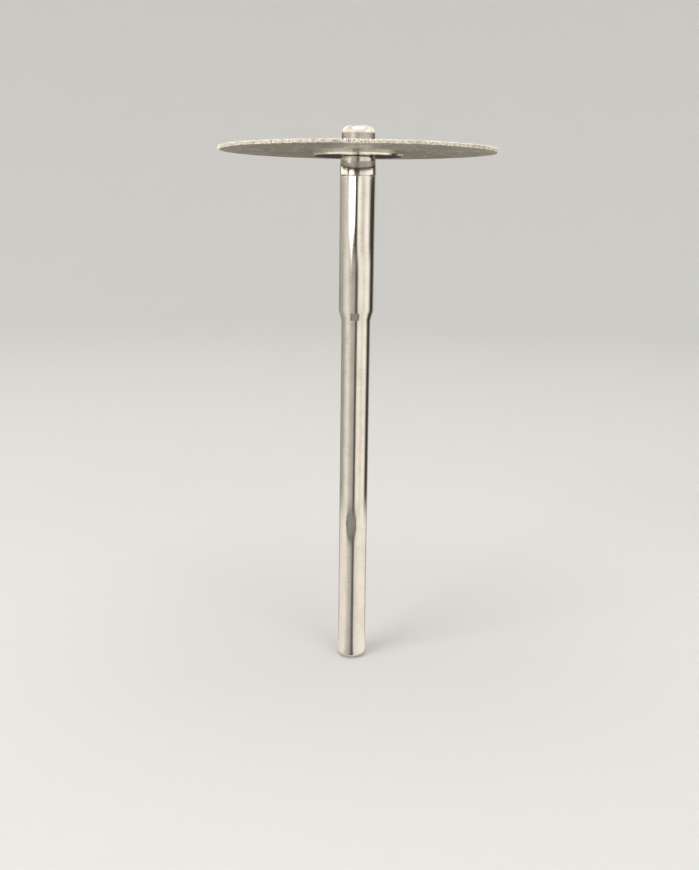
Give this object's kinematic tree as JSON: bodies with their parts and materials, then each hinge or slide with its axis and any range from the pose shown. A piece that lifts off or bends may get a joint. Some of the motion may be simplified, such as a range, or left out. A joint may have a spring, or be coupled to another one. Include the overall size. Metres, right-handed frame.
{
  "type": "dental diamond disc",
  "caption": "Thin diamond-coated cutting disc, held between a washer and a small cap on a stepped steel mandrel that fits a straight handpiece.",
  "frame": {"origin": "centre of the shank's end face, on the axis of rotation", "axes": "+Z along the axis of rotation, from the end of the shank to the cap. Every piece is a body of revolution about Z, so X and Y are free"},
  "size_m": [0.022, 0.022, 0.0445],
  "materials": {
    "polished_steel": "turned and polished bright, with fine turning marks",
    "washer_steel": "stamped sheet steel, satin, bright bevelled edge",
    "diamond_coat": "diamond grit in a plated nickel bond, matt and sparkling, warm grey",
    "cap_steel": "satin steel, slightly tarnished"
  },
  "bodies": {
    "root": {"mandrel": "polished_steel", "backing_flange": "washer_steel", "diamond_disc": "diamond_coat", "retaining_cap": "cap_steel"}
  },
  "joints": []
}
